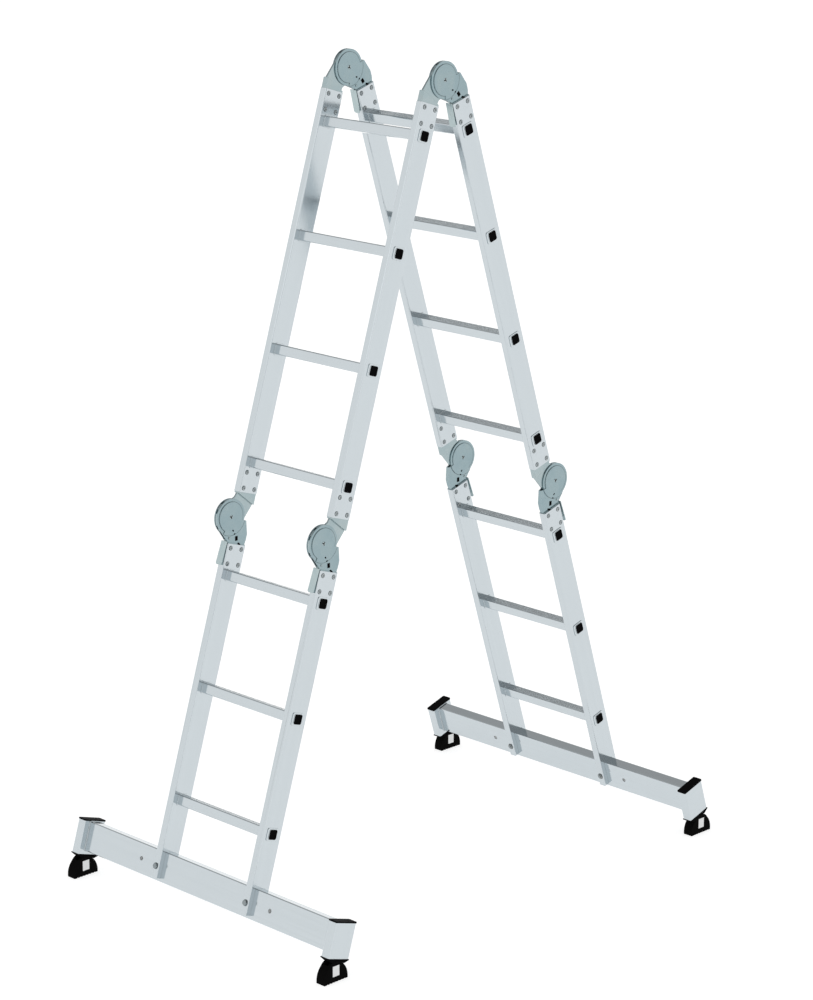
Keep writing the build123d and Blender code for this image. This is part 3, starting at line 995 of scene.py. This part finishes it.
def arcStrip(mesh, spot, radius, start, stop):
    steps = max(4, round(abs(stop - start) / 2.5))
    rings = []
    for i in range(steps + 1):
        turn = math.radians(start + (stop - start) * i / steps)
        inner, outer = radius - coverShadowLine["width"], radius - 0.02
        ring = [
            (inner, -0.4),
            (outer, -0.4),
            (outer, coverShadowLine["lift"] - 0.01),
            (outer - 0.1, coverShadowLine["lift"]),
            (inner + 0.1, coverShadowLine["lift"]),
            (inner, coverShadowLine["lift"] - 0.01),
        ]
        rings.append(
            [Vector((r * math.cos(turn), r * math.sin(turn), coverShadowLine["face"] + h)) * mm for r, h in ring]
        )
    stackRings(mesh, spot, rings)


for hinge, (endName, body) in hinges.items():
    for sideName, side in sideSign.items():
        mesh = bmesh.new()
        for face in (-1, 1):
            spot = atHinge(endName, side * ladder["railX"], 0, 0, face)
            arcStrip(mesh, spot, coverShadowLine["cam"], coverShadowLine["camStart"], coverShadowLine["camStop"])
            arcStrip(mesh, spot, coverShadowLine["boss"], coverShadowLine["camStop"], coverShadowLine["camStart"] + 360)
        finishPiece(f"{hinge}_coverShadowLines_{sideName}", mesh, body, "hinge_steel", "shadowBand")
print("cover seams made")

# stabiliser bolts: hexagon head, washer, threaded end and thin nut
bolt = {
    "flats": 13 * mm,
    "head": 4 * mm,
    "nut": 3 * mm,
    "washer": 8.2 * mm,
    "washerHeight": 0.7 * mm,
    "shank": 4 * mm,
    "pitch": 1.25 * mm,
    "dimple": [(2.8 * mm, -0.5 * mm), (2.8 * mm, 0.12 * mm), (2.2 * mm, 0.12 * mm), (1.9 * mm, -0.2 * mm)],
    "steps": 48,
}


def hexBlock(base, top):
    flats, steps = bolt["flats"], bolt["steps"]
    way = 1 if top > base else -1
    rim = flats / 2 - 0.1 * mm
    return [
        circleRing(rim, base, steps),
        hexRing(flats, base + way * 0.35 * mm, steps),
        hexRing(flats, top - way * 0.75 * mm, steps),
        circleRing(flats / 2 - 0.05 * mm, top - way * 0.1 * mm, steps),
        circleRing(flats / 2 - 0.7 * mm, top, steps),
    ]


for legName, leg in legSign.items():
    mesh = bmesh.new()
    for side in sideSign.values():
        spot = axes(
            onLeg(leg, side * ladder["railX"], ladder["railCentre"], ladder["beamU"]),
            Vector((1, 0, 0)),
            downLeg(leg),
            outward(leg),
        )
        half = ladder["railHalfDepth"]
        for way, tall in ((1, bolt["head"]), (-1, bolt["nut"])):
            rise = half + bolt["washerHeight"]
            washer = [
                (bolt["washer"] - 0.1 * mm, half),
                (bolt["washer"], half + 0.15 * mm),
                (bolt["washer"], rise - 0.15 * mm),
                (bolt["washer"] - 0.2 * mm, rise),
            ]
            stackRings(mesh, spot, [circleRing(r, way * h, bolt["steps"]) for r, h in washer])
            stackRings(mesh, spot, hexBlock(way * rise, way * (half + tall)))
        turns = [
            (
                bolt["shank"] - (0.35 * mm if i % 2 else 0),
                -half - bolt["nut"] - 0.9 * mm + i * bolt["pitch"] / 2,
            )
            for i in range(8)
        ]
        stackRings(
            mesh,
            spot,
            [
                circleRing(bolt["shank"] - 0.8 * mm, -half - bolt["nut"] - 1.3 * mm, 24)
            ] + [circleRing(r, h, 24) for r, h in turns] + [circleRing(bolt["shank"], half, 24)],
        )
        stackRings(mesh, spot, [circleRing(r, half + bolt["head"] + h, 24) for r, h in bolt["dimple"]])
    finishPiece(
        legName + "_hexBolts",
        mesh,
        legName + "_lower",
        "bolt",
        "bolt",
        replaces=[legName + "_stabiliser_bolts"],
    )
print("stabiliser bolts made")

# pale spacer sleeves through the beam at the spare holes; their pale colour is painted light, standing in
# for the lit inside wall of each hole
sleeve = {"x": 232 * mm, "bore": 5.5 * mm, "outer": 6.6 * mm, "half": 13.4 * mm, "steps": 32}
for legName, leg in legSign.items():
    mesh = bmesh.new()
    for side in sideSign.values():
        spot = axes(
            onLeg(leg, side * sleeve["x"], ladder["railCentre"], ladder["beamU"]),
            Vector((1, 0, 0)),
            downLeg(leg),
            outward(leg),
        )
        bore, outer, half = sleeve["bore"], sleeve["outer"], sleeve["half"]
        outline = [
            (bore, -half),
            (bore, half),
            (bore + 0.3 * mm, half + 0.05 * mm),
            (outer, half + 0.05 * mm),
            (outer, -half - 0.05 * mm),
            (bore + 0.3 * mm, -half - 0.05 * mm),
        ]
        stackRings(mesh, spot, [circleRing(r, h, sleeve["steps"]) for r, h in outline], closed=True)
    finishPiece(legName + "_spacerSleeves", mesh, legName + "_lower", "pale_plastic", "pale")
print("spacer sleeves made")

# weld beads where the beam meets its posts
weld = {
    "radius": 1.9 * mm,
    "ripple": 0.28 * mm,
    "pitch": 3.4 * mm,
    "round": 3 * mm,
    "gap": 0.6 * mm,
    "step": 0.9 * mm,
    "sides": 10,
}
for legName, leg in legSign.items():
    mesh = bmesh.new()
    depth, height = ladder["beamSize"]
    path = roundedRing(depth + weld["gap"], height + weld["gap"], weld["round"], 0, 5)
    dense = []
    for a, b in zip(path, path[1:] + path[:1]):
        steps = max(1, round((b - a).length / weld["step"]))
        dense += [a.lerp(b, i / steps) for i in range(steps)]
    for side in sideSign.values():
        rings = []
        for i, point in enumerate(dense):
            ahead = (dense[(i + 1) % len(dense)] - dense[i - 1]).normalized()
            across = Vector((ahead.y, -ahead.x, 0))
            travelled = i * weld["step"]
            size = weld["radius"] + weld["ripple"] * math.sin(math.tau * travelled / weld["pitch"])
            ring = []
            for k in range(weld["sides"]):
                turn = math.tau * k / weld["sides"]
                ring.append(point + across * size * math.cos(turn) + Vector((0, 0, size * math.sin(turn))))
            rings.append(ring)
        spot = axes(
            onLeg(leg, side * ladder["beamEnd"], ladder["railCentre"], ladder["beamU"]),
            outward(leg),
            downLeg(leg),
            Vector((-side, 0, 0)),
        )
        stackRings(mesh, spot, rings, closed=True)
    finishPiece(legName + "_weldBeads", mesh, legName + "_lower", "aluminium", "weld")
print("welds made")

# grip ribs on the curved ends of the shoes
shoeRib = {"heights": (8, 12, 16, 20), "length": 22, "radius": 1.0}
for legName, leg in legSign.items():
    for sideName, side in sideSign.items():
        low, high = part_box(f"{legName}_shoe_{sideName}")
        middle = (low + high) / 2
        mesh = bmesh.new()
        for way in (-1, 1):
            for height in shoeRib["heights"]:
                reach = (high.y - low.y) / 2 - (1.2 + 0.11 * height) * mm + 0.2 * mm
                spot = Matrix.Translation(
                    (middle.x, middle.y + way * reach, height * mm)
                ) @ Matrix.Rotation(math.pi / 2, 4, "Y")
                half = shoeRib["length"] / 2 * mm
                rows = [
                    (0.35, -half),
                    (0.85, -half + 0.5 * mm),
                    (1.0, -half + 1.4 * mm),
                    (1.0, half - 1.4 * mm),
                    (0.85, half - 0.5 * mm),
                    (0.35, half),
                ]
                stackRings(
                    mesh, spot, [circleRing(share * shoeRib["radius"] * mm, h, 12) for share, h in rows]
                )
        finishPiece(f"{legName}_shoeRibs_{sideName}", mesh, f"{legName}_shoe_{sideName}", "rubber", "shoe")
print("shoe ribs made")

# finishes for the CAD parts
cadFinish = {
    "rail": "rail",
    "rungs": "rung",
    "stabiliser": "beam",
    "post_caps": "black",
    "foot_sockets": "black",
    "shoe_inserts": "pale",
    "shoe": "shoe",
    "hinge_leaf": "leaf",
    "hinge_case": "hinge",
    "hinge_lever": "lever",
    "hinge_springs": "spring",
}
for nodeName, node in frame["nodes"].items():
    matches = [key for key in cadFinish if key in nodeName]
    if not matches or node.hide_render:
        continue
    finish = cadFinish[max(matches, key=len)]
    node.data.materials.clear()
    node.data.materials.append(finishes[finish])
print("CAD parts finished")

# camera, light and floor
studio = {
    "spot": Vector((5.197, -5.163, 2.961)),
    "looking": Vector((-0.6808, 0.6810, -0.2696)),
    "lens": 110.78,
    "shift": (0.00134, 0.00872),
    "surround": 1.04,
    "ceiling": [(0.30, (1, 1, 1)), (0.62, (0.42, 0.42, 0.42))],  # height on the sky, then its brightness
    "sun": 0.30,
    "keyPower": 14.0,
    "floorGlow": 0.72,
    "floorRings": (0.5, 4, 60),
    "sunSpread": math.radians(80),
    "keySize": 3.0,
}
cameraData = bpy.data.cameras.new("studioCamera")
cameraData.sensor_width = 36
cameraData.lens = studio["lens"]
cameraData.shift_x, cameraData.shift_y = studio["shift"]
cameraData.clip_end = 200
camera = bpy.data.objects.new("studioCamera", cameraData)
camera.location = studio["spot"]
camera.rotation_mode = "QUATERNION"
camera.rotation_quaternion = studio["looking"].to_track_quat("-Z", "Y")
bpy.context.scene.collection.objects.link(camera)
bpy.context.scene.camera = camera

world = bpy.data.worlds.new("paleSurround")
world.use_nodes = True
sky = world.node_tree.nodes["Background"].inputs
aim = addNode(
    world.node_tree,
    "ShaderNodeSeparateXYZ",
    feeds={0: addNode(world.node_tree, "ShaderNodeTexCoord")["Generated"]},
)
world.node_tree.links.new(rampStep(world.node_tree, aim[2], studio["ceiling"]), sky["Color"])
sky["Strength"].default_value = studio["surround"]
bpy.context.scene.world = world
bpy.context.scene.view_settings.view_transform = "Standard"


def addLight(name, kind, power, spot, target, size):
    lamp = bpy.data.lights.new(name, kind)
    lamp.energy = power
    if kind == "SUN":
        lamp.angle = size
    else:
        lamp.size = size
    light = bpy.data.objects.new(name, lamp)
    light.location = spot
    light.rotation_mode = "QUATERNION"
    light.rotation_quaternion = (Vector(target) - Vector(spot)).to_track_quat("-Z", "Y")
    bpy.context.scene.collection.objects.link(light)


addLight("overhead", "SUN", studio["sun"], (0, 0, 6), (0.3, 0.2, 0), studio["sunSpread"])
addLight("keyPanel", "AREA", studio["keyPower"], (1.5, -5.5, 4.5), (0, 0, 1.0), studio["keySize"])

mesh = bmesh.new()
stackRings(mesh, Matrix.Identity(4), [circleRing(radius, 0, 96) for radius in studio["floorRings"]])
floorData = bpy.data.meshes.new("floor")
for face in [f for f in mesh.faces if len(f.verts) > 4][1:]:
    mesh.faces.remove(face)
bmesh.ops.recalc_face_normals(mesh, faces=mesh.faces)
mesh.to_mesh(floorData)
mesh.free()
floor = bpy.data.objects.new("floor", floorData)
bpy.context.scene.collection.objects.link(floor)
floorMaterial, floorTree, floorShader = newMaterial("paleFloor", Roughness=0.9)
floorSpot = addNode(floorTree, "ShaderNodeTexCoord")["Object"]
floorCloud = addNode(
    floorTree, "ShaderNodeTexNoise", None, {"Scale": 2.0, "Detail": 3.0}, {"Vector": floorSpot}
)
floorTree.links.new(
    rampStep(floorTree, floorCloud["Fac"], [(0.3, (0.50, 0.50, 0.50)), (0.7, (0.52, 0.52, 0.52))]),
    floorShader["Base Color"],
)
floorShader["Emission Color"].default_value = (1, 1, 1, 1)
floorShader["Emission Strength"].default_value = studio["floorGlow"]
floorData.materials.append(floorMaterial)
print("studio ready")
